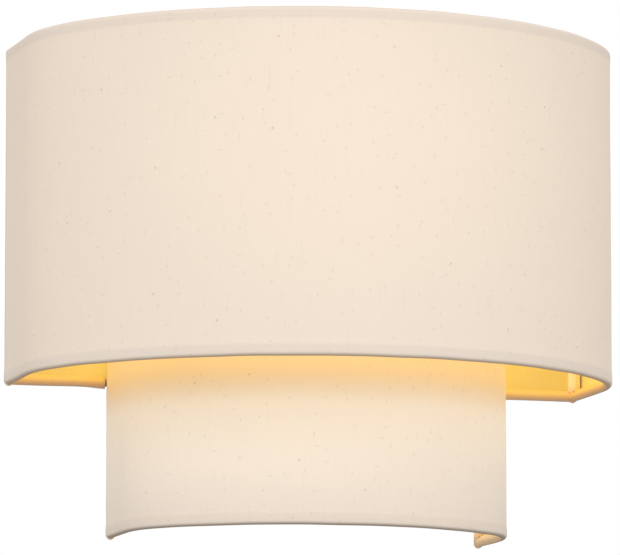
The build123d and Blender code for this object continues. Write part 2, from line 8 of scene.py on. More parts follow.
import bpy
import numpy as np
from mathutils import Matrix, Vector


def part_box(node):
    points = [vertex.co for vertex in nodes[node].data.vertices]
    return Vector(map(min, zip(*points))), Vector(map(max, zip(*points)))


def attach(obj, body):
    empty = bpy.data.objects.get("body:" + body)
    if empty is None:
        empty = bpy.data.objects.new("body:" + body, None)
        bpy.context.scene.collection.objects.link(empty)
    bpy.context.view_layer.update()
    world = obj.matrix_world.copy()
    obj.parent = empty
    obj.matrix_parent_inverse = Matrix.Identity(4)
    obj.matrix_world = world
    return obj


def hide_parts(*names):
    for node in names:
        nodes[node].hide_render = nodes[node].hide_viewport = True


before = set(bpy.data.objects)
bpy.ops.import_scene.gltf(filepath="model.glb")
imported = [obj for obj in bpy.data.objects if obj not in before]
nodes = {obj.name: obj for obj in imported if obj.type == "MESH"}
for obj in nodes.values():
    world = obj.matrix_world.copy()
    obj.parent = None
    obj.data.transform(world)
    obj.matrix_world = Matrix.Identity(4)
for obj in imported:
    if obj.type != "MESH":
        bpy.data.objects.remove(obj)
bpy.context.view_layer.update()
mm = 0.001

# ---- sizes that the frame doesn't give -----------------------------------------------

CLOTH = 0.5 * mm
FILM = 0.3 * mm
HEM_RADIUS = 2.15 * mm  # of the roll of cloth round a wire
TURN_IN = 5.5 * mm  # height of the hem turned to the inside
THREAD_PITCH = 0.62 * mm  # of the weave
TAPE_WIDTH = 10.2 * mm  # with its lifted edge
TAPE_INSET = FILM / 2 + 0.02 * mm  # of its middle line, clear of the liner
WRAP_CLOTH = 0.35 * mm  # round a corner post
WRAP_FOOT = 0.5 * mm  # by which its gathered foot stands below the hem
STITCH_RADIUS = 0.17 * mm  # of the thread round that foot
UPPER_PLAN = (45.0 * mm, 86.0 * mm)  # a tier's straight side, and the radius of its corners
LOWER_PLAN = (34.0 * mm, 58.0 * mm)
WINDOW_X = (-0.054, 0.054)  # the opening in the rear panel, round the wall plate
WINDOW_Z = (-0.054, 0.042)
NOTCH_GAP = 0.4 * mm  # between a lower post's wrapping and the rear hem
LAMP = (0.0, -0.060, 0.030)  # centre of the bulb's globe

# How uneven the cloth is.
ROLL_RIPPLE = 0.12 * mm  # a round wall, in and out
RIM_RIPPLE = 0.15 * mm  # its rims, up and down
EDGE_RIPPLE = 0.5 * mm  # its turned-in cut edges, up and down
HEM_SWELL = 0.22 * mm  # by which its hems stand proud of the single cloth
REAR_RIPPLE = 0.10 * mm  # the rear panel, in and out
REAR_RIM_RIPPLE = 0.12 * mm
NOTCH_SAG = 0.8 * mm  # of the rear hem at the left notch, over NOTCH_SAG_WIDTH to each side
NOTCH_SAG_WIDTH = 7 * mm
WRAP_RIPPLE = 0.06 * mm
TAPE_LIFT = 0.9 * mm  # of a seam tape's front edge
TAPE_EDGE_RIPPLE = 0.25 * mm

# How finely it is divided.
EDGE_ROWS, ROLL_ROWS, WALL_ROWS = 6, 22, 56
HEM_ROWS = EDGE_ROWS + ROLL_ROWS
ROUND_COLUMNS, REAR_COLUMNS = 241, 161

# ---- camera --------------------------------------------------------------------------

PHOTO_WIDTH_PX = 620
FOCAL_PX = 5940.6
SENSOR = 36.0
CAMERA_YAW = 0.2722  # radians; the camera stands to the left of the light
CAMERA_PITCH = 0.1302  # and looks up at it
CAMERA_DISTANCE = 3.0142
AIM = (0.00897, 0.0, -0.0153)


def add_object(name, data):
    made = bpy.data.objects.new(name, data)
    bpy.context.scene.collection.objects.link(made)
    return made


def make_camera():
    data = bpy.data.cameras.new("camera")
    data.sensor_width = SENSOR
    data.lens = FOCAL_PX / PHOTO_WIDTH_PX * SENSOR
    data.clip_start = 0.1
    data.clip_end = 50
    camera = add_object("camera", data)
    ahead = np.array([
        math.sin(CAMERA_YAW) * math.cos(CAMERA_PITCH),
        math.cos(CAMERA_YAW) * math.cos(CAMERA_PITCH),
        math.sin(CAMERA_PITCH),
    ])
    camera.location = np.array(AIM) - ahead * CAMERA_DISTANCE
    camera.rotation_euler = (math.pi / 2 + CAMERA_PITCH, 0, -CAMERA_YAW)
    bpy.context.scene.camera = camera


# ---- shader maths --------------------------------------------------------------------


class Signal:
    """One shader socket that Python's operators work on."""

    def __init__(self, finish, socket):
        self.finish = finish
        self.socket = socket

    def math(self, operation, *others, clamp=False):
        settings = {"operation": operation, "use_clamp": clamp}
        return self.finish.node("ShaderNodeMath", settings, dict(enumerate((self, *others))))

    def __add__(self, other):
        return self.math("ADD", other)

    def __sub__(self, other):
        return self.math("SUBTRACT", other)

    def __mul__(self, other):
        return self.math("MULTIPLY", other)

    def __truediv__(self, other):
        return self.math("DIVIDE", other)

    def __rsub__(self, other):
        return (self * -1) + other

    def __rtruediv__(self, other):
        return self.math("POWER", -1) * other

    __radd__ = __add__
    __rmul__ = __mul__

    def clamped(self):
        """Held between 0 and 1."""
        return self.math("ADD", 0, clamp=True)

    def ramp(self, low, high):
        """Rises smoothly from 0 at low to 1 at high, or falls where low is above high."""
        inputs = {"Value": self, "From Min": low, "From Max": high}
        return self.finish.node("ShaderNodeMapRange", {"interpolation_type": "SMOOTHSTEP"}, inputs)


class Finish:
    """A material with one principled shader, built by node()."""

    def __init__(self, name, **constants):
        self.material = bpy.data.materials.new(name)
        self.material.use_nodes = True
        self.tree = self.material.node_tree
        self.tree.nodes.clear()
        output = self.tree.nodes.new("ShaderNodeOutputMaterial")
        self.shader = self.tree.nodes.new("ShaderNodeBsdfPrincipled")
        self.tree.links.new(self.shader.outputs[0], output.inputs[0])
        coordinates = self.tree.nodes.new("ShaderNodeTexCoord")
        self.place = Signal(self, coordinates.outputs["Object"])
        self.cloth_place = Signal(self, coordinates.outputs["UV"])
        self.set(**constants)

    def plug(self, socket, value):
        if isinstance(value, Signal):
            self.tree.links.new(value.socket, socket)
        elif socket.type == "RGBA":
            socket.default_value = (*value, 1)
        else:
            socket.default_value = value

    def set(self, **values):
        """Sets or links the shader's sockets, named with underscores for spaces."""
        for name, value in values.items():
            self.plug(self.shader.inputs[name.replace("_", " ")], value)

    def node(self, kind, settings, inputs, out=0):
        """Adds a node and gives its output number out as a signal."""
        made = self.tree.nodes.new(kind)
        for name, value in settings.items():
            setattr(made, name, value)
        for name, value in inputs.items():
            self.plug(made.inputs[name], value)
        return Signal(self, made.outputs[out])

    def split(self, vector):
        return [self.node("ShaderNodeSeparateXYZ", {}, {0: vector}, out) for out in range(3)]

    def stretched(self, vector, x, y, z=1.0):
        inputs = {0: vector, 1: (x, y, z)}
        return self.node("ShaderNodeVectorMath", {"operation": "MULTIPLY"}, inputs)

    def distance(self, a, b):
        return self.node("ShaderNodeVectorMath", {"operation": "DISTANCE"}, {0: a, 1: b}, out=1)

    def noise(self, vector, scale, detail=2.0):
        inputs = {"Vector": vector, "Scale": scale, "Detail": detail}
        return self.node("ShaderNodeTexNoise", {}, inputs)

    def cells(self, vector):
        """Distance from the middle of the nearest unit cell, and that cell's own random value."""
        settings, inputs = {"voronoi_dimensions": "2D"}, {"Vector": vector, "Scale": 1.0}
        near = self.node("ShaderNodeTexVoronoi", settings, inputs)
        return near, self.split(self.node("ShaderNodeTexVoronoi", settings, inputs, out=1))[0]

    def mix(self, factor, a, b, blend="MIX"):
        """Blends two colours."""
        settings = {"data_type": "RGBA", "blend_type": blend}
        return self.node("ShaderNodeMix", settings, {0: factor, 6: a, 7: b}, out=2)

    def scaled(self, colour, amount):
        """A colour times a number."""
        inputs = {0: colour, "Scale": amount}
        return self.node("ShaderNodeVectorMath", {"operation": "SCALE"}, inputs)

    def bump(self, height, distance, strength):
        inputs = {"Height": height, "Distance": distance, "Strength": strength}
        self.set(Normal=self.node("ShaderNodeBump", {}, inputs))

    def glow(self, light, strength=1.0):
        """Light that leaves the surface itself."""
        self.set(Emission_Color=light, Emission_Strength=strength)

    def near_lamp(self, at_reach, reach):
        """Light from the lamp: at_reach at that distance, falling with the distance squared."""
        away = self.distance(self.place, LAMP) / reach
        return at_reach / (away * away)


# ---- cloth ---------------------------------------------------------------------------

LINEN = (0.76, 0.66, 0.575)
LINEN_SHADE = (0.67, 0.57, 0.485)
PAINTED_SHADE_COLOUR = (0.27, 0.205, 0.15)  # painted shade: brown where the cloth folds under a wire, and along a seam tape's lifted edge
UPPER_TURNED = (0.93, 0.71, 0.50)  # the lamp's colour on cloth that faces inward
LOWER_TURNED = (0.97, 0.82, 0.62)
SEED_FLECK = (0.22, 0.13, 0.06)
BLACK = (0.0, 0.0, 0.0)
LAMP_CREAM = (1.0, 0.78, 0.46)
LAMP_PALE = (0.95, 0.97, 0.84)
LAMP_AMBER = (1.0, 0.57, 0.07)
LAMP_GOLD = (1.0, 0.70, 0.07)
LAMP_PEACH = (1.0, 0.67, 0.27)

# Cells to a metre across and up, a fleck's size in cells, the share of bare cells, and depth.
FLECKS = (
    (95.0, 52.0, 0.080, 0.50, 0.10),
    (38.0, 95.0, 0.075, 0.55, 0.09),
    (80.0, 66.0, 0.062, 0.62, 0.16),
    (34.0, 30.0, 0.032, 0.70, 0.26),
)

EVEN_SHARE = 0.4  # of the light through the upper walls that doesn't fall with distance
HEM_LIGHT = 0.50  # share of the light that gets through the double cloth of a hem
UPPER_PAINTED_SHADE, LOWER_PAINTED_SHADE = 0.60, 0.85  # how dark the painted shade along the fold under a tier's lower wire is
TAPE_EDGE_SHADOW = 0.85  # how dark the painted shadow along a seam tape's lifted edge is
POST_FAINT = 0.02  # light on the side of a wrapped post that faces away from the lamp

# Between these distances from a rim, light on turned-in cloth and on wrapped posts fades.
TURNED_FADE = (0.3 * mm, 4.5 * mm)
POST_FADE = (1.0 * mm, 9.0 * mm)

# Heights on the lower wall.
PALE_FOOT, PALE_TOP = -187 * mm, -78 * mm  # the pale light gathers upwards between these
SHADOW_TOP, SHADOW_FOOT = -74 * mm, -94 * mm  # and goes out under the upper shade
SPILL_FOOT, SPILL_TOP = -101 * mm, -68 * mm  # where the lamp's light falls on the outside


def weave(finish):
    """Plain weave from the cloth's own coordinates in metres: warp and weft cross over in turn.

    Returns the height of the threads, the colour of the cloth and how dark its flecks are.
    """
    cloth = finish.cloth_place
    along, up, _ = finish.split(cloth)
    wander = finish.noise(cloth, 45.0) * (2 * THREAD_PITCH)
    turn = math.pi / THREAD_PITCH
    warp = ((along + wander) * turn).math("SINE")
    weft = ((up + wander) * turn).math("SINE")
    over = (warp * weft * 2.5 + 0.5).clamped()
    height = warp.math("ABSOLUTE") * over + weft.math("ABSOLUTE") * (1 - over)

    slub_up = finish.noise(finish.stretched(cloth, 1400.0, 90.0), 1.0).ramp(0.60, 0.74)
    slub_along = finish.noise(finish.stretched(cloth, 80.0, 1300.0), 1.0).ramp(0.62, 0.76)
    thin_up = finish.noise(finish.stretched(cloth, 900.0, 45.0), 1.0).ramp(0.42, 0.28)
    cloudy = finish.noise(cloth, 14.0, detail=4.0)
    slubs = slub_up * 0.30 + slub_along * 0.25 - thin_up * 0.22
    # Painted shade between the threads: the colour is darker where the threads lie low, with random
    # slubs and cloud.
    tone = 0.24 + height * 0.30 + slubs + cloudy * 0.25
    colour = finish.mix(tone.clamped(), LINEN_SHADE, LINEN)

    # Seed flecks: cells' middles, drawn out along the warp or the weft, in a share of the cells.
    flecks = 0
    for cells_across, cells_up, size, bare, depth in FLECKS:
        near, chance = finish.cells(finish.stretched(cloth, cells_across, cells_up))
        flecks = near.ramp(size, size * 0.15) * chance.ramp(bare, bare + 0.02) * depth + flecks
    flecks = flecks.clamped()
    return height + slub_up + slub_along, finish.mix(flecks, colour, SEED_FLECK), flecks


def cloth_finish(name, turned_lamp_tint, glow):
    """Natural cotton and linen. glow(finish) gives the light that leaves the cloth, where the
    cloth faces the lamp, whose colour is painted into the base colour, and where painted shade
    darkens it along a fold or a lifted edge."""
    finish = Finish(name, Roughness=0.93, Specular_IOR_Level=0.15)
    height, colour, flecks = weave(finish)
    light, facing, painted_shade_mask = glow(finish)
    finish.glow(finish.mix(flecks, light, BLACK))
    # Painted lamp light: where the cloth faces the lamp, its base colour takes the lamp's colour.
    colour = finish.mix(facing, colour, finish.mix(1.0, colour, turned_lamp_tint, "MULTIPLY"))
    # Painted shade: the base colour turns brown along the fold under a wire and a tape's lifted
    # edge.
    finish.set(Base_Color=finish.mix(painted_shade_mask, colour, PAINTED_SHADE_COLOUR))
    finish.bump(height, 0.10 * mm, 0.35)
    return finish.material


def off_foot(z, tier, start, end):
    """Rises from 0 at start above a tier's lower rim to 1 at end above it."""
    return z.ramp(tier.low + start, tier.low + end)


def off_rims(z, tier, start, end):
    """Rises from 0 at start to 1 at end, measured from both rims of a tier."""
    return off_foot(z, tier, start, end) * z.ramp(tier.high - start, tier.high - end)


def through_hems(z, tier):
    """1 over the single cloth of a wall and HEM_LIGHT in both hems, where the cloth is double."""
    edge = TURN_IN - 0.6 * mm
    return HEM_LIGHT + (1 - HEM_LIGHT) * off_rims(z, tier, edge, edge + 1.8 * mm)


def turned_in(finish, tier):
    """1 on the part of the cloth that is turned to the inside, and 1 along the fold under the
    lower wire, where shade is painted, both from the cloth's own height coordinate."""
    up = finish.split(finish.cloth_place)[1]
    whole = tier.high - tier.low + 2 * TURN_IN + 2 * HEM_RADIUS * 0.9
    foot = TURN_IN + HEM_RADIUS * 1.3
    crest = whole - TURN_IN - HEM_RADIUS * 0.45
    turned = up.ramp(foot + 1.0 * mm, foot - 1.0 * mm) + up.ramp(crest - 0.8 * mm, crest + 0.8 * mm)
    # The band of painted shade along the roll's underside, under the lower wire.
    fold = TURN_IN + HEM_RADIUS
    entering = up.ramp(fold - 1.3 * mm, fold + 0.2 * mm)
    leaving = up.ramp(fold + 2.6 * mm, fold + 1.0 * mm)
    return turned, entering * leaving


def upper_glow(tier, strength, reach, inside):
    """Light through a wall of the upper shade: part of it even, part falling away from the
    lamp, and less in the double cloth at both rims. inside is the light of the turned-in
    cloth, which fades at the rims."""

    def glow(finish):
        z = finish.split(finish.place)[2]
        even = EVEN_SHARE * strength
        light = (even + finish.near_lamp(strength - even, reach)) * through_hems(z, tier)
        turned, painted_shade_mask = turned_in(finish, tier)
        lit = off_rims(z, tier, *TURNED_FADE) * inside
        colour = finish.mix(turned, finish.scaled(LAMP_CREAM, light), finish.scaled(LAMP_GOLD, lit))
        # The last value is painted shade along the fold under the lower wire.
        return colour, turned, painted_shade_mask * UPPER_PAINTED_SHADE

    return glow


def lower_glow(tier, strength, spill, inside):
    """Light through the lower wall: pale, gathering towards the upper shade and dark right
    under it, where the lamp's own amber light spills down the outside instead, as the square
    of a smooth rise. inside is the light of the turned-in cloth."""

    def glow(finish):
        z = finish.split(finish.place)[2]
        gathered = z.ramp(PALE_FOOT, PALE_TOP) * z.ramp(SHADOW_TOP, SHADOW_FOOT)
        pale = finish.scaled(LAMP_PALE, strength * gathered * through_hems(z, tier))
        spilt = z.ramp(SPILL_FOOT, SPILL_TOP)
        light = finish.mix(1.0, pale, finish.scaled(LAMP_AMBER, spilt * spilt * spill), "ADD")
        turned, painted_shade_mask = turned_in(finish, tier)
        lit = off_foot(z, tier, *TURNED_FADE) * inside
        colour = finish.mix(turned, light, finish.scaled(LAMP_CREAM, lit))
        # The last value is painted shade along the fold under the lower wire.
        return colour, turned, painted_shade_mask * LOWER_PAINTED_SHADE

    return glow


def post_glow(tier, lamp_colour, inside):
    """Light on a wrapped post: only its inner side faces the lamp."""

    def glow(finish):
        x, y, z = finish.split(finish.place)
        outward = x.math("ABSOLUTE") - tier.post_x + y - tier.post_y
        facing = outward.ramp(1.2 * mm, -1.4 * mm)
        light = facing * off_rims(z, tier, *POST_FADE) * inside + POST_FAINT
        return finish.scaled(lamp_colour, light), facing, 0.0

    return glow


def tape_glow(inside):
    """Light on a seam tape: none along its front edge, which stands off the liner, where a dark
    shadow is painted instead.
    """

    def glow(finish):
        across = finish.split(finish.cloth_place)[0]
        # Painted shadow along the tape's lifted front edge: no light there, and a dark base colour.
        lifted = across.ramp(TAPE_WIDTH - 3.6 * mm, TAPE_WIDTH - 2.8 * mm)
        return finish.scaled(LAMP_AMBER, (1 - lifted) * inside), 1.0, lifted * TAPE_EDGE_SHADOW

    return glow


# ---- shapes --------------------------------------------------------------------------


def centre(node):
    low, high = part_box(node)
    return (low + high) / 2


class Tier:
    """One shade of the frame: D-shaped in plan, flat at the back."""

    def __init__(self, name, side, corner_radius):
        low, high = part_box(f"{name}_cover")
        post = centre(f"{name}_right_post")
        self.name = name
        self.side = side
        self.corner_radius = corner_radius
        self.half_width = high.x
        self.low, self.high = low.z, high.z
        self.post_x, self.post_y = post.x, post.y
        self.back = self.post_y + HEM_RADIUS
        # The front arc touches both corner arcs and the cover's foremost point.
        reach = self.back - low.y - side
        spare = 2 * (reach - corner_radius)
        across = self.half_width - corner_radius
        squares = self.half_width**2 + reach**2 - 2 * self.half_width * corner_radius
        self.front_radius = squares / spare
        self.half_angle = math.atan2(across, self.front_radius - reach)

    def outline(self, count):
        """Points round the wall, from the left post to the right one, with their outward
        directions and distances: the heading turns evenly along each arc."""
        straight = self.post_y - self.back + self.side
        corner = self.corner_radius * (math.pi / 2 - self.half_angle)
        front = self.front_radius * 2 * self.half_angle
        knots = np.concatenate([[0], np.cumsum([straight, corner, front, corner, straight])])
        right = math.pi / 2
        turns = [-right, -right, -self.half_angle, self.half_angle, right, right]
        along = np.linspace(0, knots[-1], count)
        heading = np.interp((along[1:] + along[:-1]) / 2, knots, turns)
        steps = np.diff(along)[:, None] * np.stack([np.cos(heading), np.sin(heading)], axis=1)
        start = np.array([[-self.half_width, self.post_y]])
        points = np.concatenate([start, start + np.cumsum(steps, axis=0)])
        heading = np.interp(along, knots, turns)
        outward = np.stack([np.sin(heading), -np.cos(heading)], axis=1)
        return points, outward, along


def ripple(a, b, seed, wavelengths=(0.047, 0.031, 0.071)):
    """Soft unevenness between -1 and 1: a sum of crossed sine waves with seeded phases."""
    phases = np.random.default_rng(seed).uniform(0, 2 * math.pi, (len(wavelengths), 2))
    total = 0
    for length, (first, second) in zip(wavelengths, phases):
        along = np.sin(2 * math.pi * a / length + first)
        total = total + along * np.cos(2 * math.pi * b / (1.7 * length) + second)
    return total / len(wavelengths)


def rounded_end(distance):
    """Radius of a round cap, as a share of the full one, at a distance from its tip."""
    return np.sqrt(np.clip(1 - (1 - np.clip(distance / HEM_RADIUS, 0, 1)) ** 2, 0, 1))


def hem_profile(height):
    """Middle line of a hemmed wall, as depth inward, height and distance along the cloth.

    From the cut edge inside the lower hem, down, round the wire, up the wall, round the upper
    wire and down to the other cut edge. Each roll is an arc that its turned-in edge leaves
    along a tangent.
    """
    radius = HEM_RADIUS - CLOTH / 2
    landing = np.array([CLOTH + FILM + CLOTH / 2, TURN_IN])
    reach = landing - HEM_RADIUS
    leave = math.atan2(reach[1], reach[0]) - math.acos(radius / math.hypot(*reach))
    angles = np.linspace(2 * math.pi + leave, math.pi, ROLL_ROWS)
    roll = HEM_RADIUS + radius * np.stack([np.cos(angles), np.sin(angles)], axis=1)
    edge = landing + np.linspace(0, 1, EDGE_ROWS + 1)[:-1, None] * (roll[0] - landing)
    lower = np.concatenate([edge, roll])
    wall_z = np.linspace(HEM_RADIUS, height - HEM_RADIUS, WALL_ROWS)[1:-1]
    wall = np.stack([np.full_like(wall_z, CLOTH / 2), wall_z], axis=1)
    upper = (lower * [1, -1] + [0, height])[::-1]
    line = np.concatenate([lower, wall, upper])
    along = np.concatenate([[0], np.cumsum(np.hypot(*np.diff(line, axis=0).T))])
    return line[:, 0], line[:, 1], along


def cloth_grid(across, up):
    """The cloth's own coordinates for a grid of points, in metres."""
    return np.stack(np.broadcast_arrays(across[:, None], up[None, :]), axis=-1)


def surface(name, points, cloth_place, material, keep=None, thickness=0.0, flip=False):
    """A piece of the shade from a grid of points, with its own coordinates in metres and a
    thickness. keep says which of the grid's faces are made."""
    rows, columns = points.shape[:2]
    index = np.arange(rows * columns).reshape(rows, columns)
    corners = [index[:-1, :-1], index[1:, :-1], index[1:, 1:], index[:-1, 1:]]
    faces = np.stack(corners[::-1] if flip else corners, axis=-1).reshape(-1, 4)
    if keep is not None:
        faces = faces[keep.ravel()]
    used, faces = np.unique(faces, return_inverse=True)
    faces = faces.reshape(-1, 4)
    mesh = bpy.data.meshes.new(name)
    mesh.from_pydata(points.reshape(-1, 3)[used], [], faces)
    mesh.polygons.foreach_set("use_smooth", np.ones(len(faces), bool))
    layer = mesh.uv_layers.new(name="cloth")
    corner_places = cloth_place.reshape(-1, 2)[used][faces.ravel()]
    layer.data.foreach_set("uv", corner_places.astype(np.float32).ravel())
    mesh.materials.append(material)
    mesh.validate()
    made = add_object(name, mesh)
    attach(made, "shade")
    if thickness:
        wall = made.modifiers.new("thickness", "SOLIDIFY")
        wall.thickness = thickness
        wall.offset = 0
        wall.use_even_offset = True
    return made


def make_round_wall(tier, seed, material):
    """A cover: the hem profile carried round the D, with a slightly uneven roll and edge."""
    line, outward, along = tier.outline(ROUND_COLUMNS)
    whole = tier.high - tier.low
    depth, height, cloth_up = hem_profile(whole)
    s, z = np.meshgrid(along, height, indexing="ij")
    from_rim = np.minimum(z, whole - z)
    inward = depth[None, :] + ROLL_RIPPLE * ripple(s, z, seed)
    inward -= HEM_SWELL * np.clip((TURN_IN + 0.6 * mm - from_rim) / (1.2 * mm), 0, 1)
    up = z + RIM_RIPPLE * ripple(s, 0 * s, seed + 1)
    from_cut = cloth_up[-1] / 2 - np.abs(cloth_up - cloth_up[-1] / 2)
    near_cut = np.sign(whole / 2 - z) * np.clip((TURN_IN - from_cut) / TURN_IN, 0, 1)
    up = up + EDGE_RIPPLE * near_cut * ripple(s, 0 * s, seed + 2, (0.013, 0.021, 0.006))
    points = np.empty((*s.shape, 3))
    points[..., :2] = line[:, None] - outward[:, None] * inward[..., None]
    points[..., 2] = tier.low + up
    name = f"{tier.name}_cloth"
    made = surface(name, points, cloth_grid(along, cloth_up), material, thickness=CLOTH)
    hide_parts(f"{tier.name}_cover")


def make_rear_wall(tier, post_x, material):
    """The rear panel: the same profile carried straight across, with a window and, in the turn-in
    of its lower hem, a notch for each of the lower tier's posts at post_x to either side."""
    gap = HEM_RADIUS + NOTCH_GAP
    notches = [(x - gap, x + gap) for x in (-post_x, post_x)]
    columns = np.linspace(-tier.post_x, tier.post_x, REAR_COLUMNS)
    across = np.unique(np.round(np.concatenate([columns, WINDOW_X, *notches]), 6))

    depth, height, cloth_up = hem_profile(tier.high - tier.low)
    wall = slice(HEM_ROWS, -HEM_ROWS)
    sills = np.array(WINDOW_Z) - tier.low
    sills_up = np.interp(sills, height[wall], cloth_up[wall])
    order = np.argsort(np.concatenate([cloth_up, sills_up]))
    cloth_up = np.concatenate([cloth_up, sills_up])[order]
    height = np.concatenate([height, sills])[order]
    depth = np.concatenate([depth, [CLOTH / 2] * 2])[order]

    s, z = np.meshgrid(across, height, indexing="ij")
    below_wire = np.clip(1 - z / HEM_RADIUS, 0, 1)
    sag = NOTCH_SAG * below_wire * np.exp(-(((s - notches[0][0]) / NOTCH_SAG_WIDTH) ** 2))
    points = np.empty((*s.shape, 3))
    points[..., 0] = s
    points[..., 1] = tier.back - depth[None, :] - REAR_RIPPLE * ripple(s, z, 31)
    points[..., 2] = tier.low + z + REAR_RIM_RIPPLE * ripple(s, 0 * s, 32) - sag

    x, y, z = np.moveaxis((points[1:, 1:] + points[:-1, :-1]) / 2, -1, 0)
    open_part = (x > WINDOW_X[0]) & (x < WINDOW_X[1]) & (z > WINDOW_Z[0]) & (z < WINDOW_Z[1])
    turn_in = (z < tier.low + TURN_IN + CLOTH) & (y < tier.back - CLOTH)
    for first, last in notches:
        open_part |= (x > first) & (x < last) & turn_in
    place = cloth_grid(across, cloth_up)
    made = surface("rear_cloth", points, place, material, ~open_part, CLOTH, flip=True)
    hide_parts("rear_panel")


def make_binding(tier, hand, material):
    """Cloth wrapped once round a corner post, with a lapped edge and gathered ends: the radius
    grows slowly with the angle and closes at both ends like a rounded cap."""
    binding, post = f"{tier.name}_{hand}_binding", f"{tier.name}_{hand}_post"
    axis = centre(post)
    side = 1 if hand == "right" else -1
    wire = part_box(post)[1].x - axis.x + WRAP_CLOTH / 2
    foot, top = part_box(binding)[0].z - WRAP_FOOT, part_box(binding)[1].z
    rounding = HEM_RADIUS * (1 - np.cos(np.linspace(0.12, math.pi / 2, 9)))
    straight = np.linspace(foot + HEM_RADIUS, top - HEM_RADIUS, 60)[1:-1]
    z = np.concatenate([foot + rounding, straight, top - rounding[::-1]])
    angle = np.linspace(0, 2.3 * math.pi, 46)  # once round and a lap
    a, up = np.meshgrid(angle, z, indexing="ij")
    uneven = WRAP_RIPPLE * ripple(up, a * 0.01, 41, (0.011, 0.017, 0.029))
    radius = wire + WRAP_CLOTH * 1.1 * a / (2 * math.pi) + uneven
    radius = radius * rounded_end(np.minimum(up - foot, top - up))
    points = np.empty((*a.shape, 3))
    points[..., 0] = axis.x - side * radius * np.cos(a + 0.4)
    points[..., 1] = axis.y - radius * np.sin(a + 0.4)
    points[..., 2] = up
    name, place = f"{tier.name}_{hand}_wrap", cloth_grid(angle * wire, z)
    made = surface(name, points, place, material, thickness=WRAP_CLOTH, flip=side < 0)
    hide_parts(binding)


def make_seam_tape(hand, material):
    """Strip of cloth stuck inside a side wall: its front edge lifts away along a soft curve, as
    the fourth power of the distance from the rear edge."""
    low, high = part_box(f"upper_{hand}_seam_tape")
    side = 1 if hand == "right" else -1
    outer = high.x if side > 0 else -low.x
    width = high.y - low.y
    across = np.linspace(0, 1, 13)
    up = np.linspace(low.z, high.z, 64)
    t, z = np.meshgrid(across, up, indexing="ij")
    lift = TAPE_LIFT * t**4 * (0.7 + 0.3 * ripple(z, t, 51))
    edge = TAPE_EDGE_RIPPLE * t * ripple(z, t, 52, (0.009, 0.023, 0.006))
    points = np.empty((*t.shape, 3))
    points[..., 0] = side * (outer - TAPE_INSET - lift)
    points[..., 1] = high.y - t * width + edge
    points[..., 2] = z
    name, place = f"upper_{hand}_tape", cloth_grid(across * width, up)
    made = surface(name, points, place, material, thickness=FILM, flip=side < 0)
    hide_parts(f"upper_{hand}_seam_tape")


def make_whipping(tier, hand, material):
    """Thread that closes the foot of a wrapped post: a round tube carried up a helix of four
    turns, whose radius follows the wrapping and wavers a little."""
    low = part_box(f"{tier.name}_{hand}_binding")[0].z
    axis = centre(f"{tier.name}_{hand}_post")
    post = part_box(f"{tier.name}_{hand}_post")[1].x - axis.x
    turn = np.linspace(0, 8 * math.pi, 145)
    round_thread = np.linspace(0, 2 * math.pi, 9)
    t, r = np.meshgrid(turn, round_thread, indexing="ij")
    start, pitch, waver = 1.1 * mm, 0.95 * mm, 0.35 * mm
    rise = start + pitch * t / (2 * math.pi) + waver * np.sin(t * 1.37 + 0.8)
    wrapping = post + 0.60 * mm
    radius = wrapping * rounded_end(rise) + STITCH_RADIUS * np.cos(r)
    points = np.stack([
        axis.x + radius * np.cos(t),
        axis.y + radius * np.sin(t),
        low + rise + STITCH_RADIUS * np.sin(r),
    ], axis=-1)
    place = cloth_grid(turn * post, round_thread * STITCH_RADIUS)
    made = surface(f"{tier.name}_{hand}_whipping", points, place, material)


# ---- hard finishes -------------------------------------------------------------------


def thread_finish():
    """Waxed linen thread: darker than the cloth, with the twist of its strands."""
    finish = Finish("stitch_thread", Roughness=0.7, Specular_IOR_Level=0.3)
    along, across, _ = finish.split(finish.cloth_place)
    twist = ((along + across) * 9000.0).math("SINE")
    dark, pale = (0.20, 0.13, 0.06), (0.44, 0.31, 0.16)
    finish.set(Base_Color=finish.mix(twist.ramp(-1.0, 1.0), dark, pale))
    finish.bump(twist, 0.04 * mm, 0.4)
    return finish.material


def film_finish(name, strength, reach):
    """Satin film behind the cloth, lit by the lamp: the weave shows faintly through it, and
    it washes out to a paler colour where the light is strongest."""
    finish = Finish(name, Roughness=0.45, Specular_IOR_Level=0.3)
    thread = finish.noise(finish.stretched(finish.place, 900.0, 900.0, 120.0), 1.0)
    cloudy = finish.noise(finish.place, 20.0, detail=3.0)
    light = finish.near_lamp(strength, reach) * (0.85 + 0.2 * thread + 0.2 * cloudy)
    washed_out = light.ramp(0.50, 1.30)
    light = light.math("MINIMUM", 0.60)
    deep, warm, washed = (1.0, 0.60, 0.09), (1.0, 0.72, 0.16), (1.0, 0.80, 0.46)
    colour = finish.mix(washed_out, finish.mix(light.ramp(0.1, 0.9), deep, warm), washed)
    finish.glow(finish.scaled(colour, light))
    # Painted lamp light: the base colour is warm where the lamp's light is weak and pales where it
    # is strongest.
    deep, warm, washed = (0.57, 0.47, 0.18), (0.63, 0.53, 0.22), (0.66, 0.57, 0.42)
    finish.set(Base_Color=finish.mix(washed_out, finish.mix(cloudy, deep, warm), washed))
    finish.bump(thread, 0.03 * mm, 0.2)
    return finish.material


def paint_finish(name, colour, worn, roughness=0.38):
    """Powder coat: fine orange peel, with the odd darker rub."""
    finish = Finish(name, Specular_IOR_Level=0.45)
    peel = finish.noise(finish.place, 1500.0)
    cloudy = finish.noise(finish.place, 60.0, detail=5.0)
    rub = finish.noise(finish.place, 210.0, detail=6.0).ramp(0.66, 0.78)
    rubbed = (0.45, 0.43, 0.40)
    finish.set(Base_Color=finish.mix(rub * 0.35, finish.mix(cloudy, colour, worn), rubbed))
    finish.set(Roughness=roughness + 0.12 * cloudy)
    finish.bump(peel, 0.05 * mm, 0.25)
    return finish.material


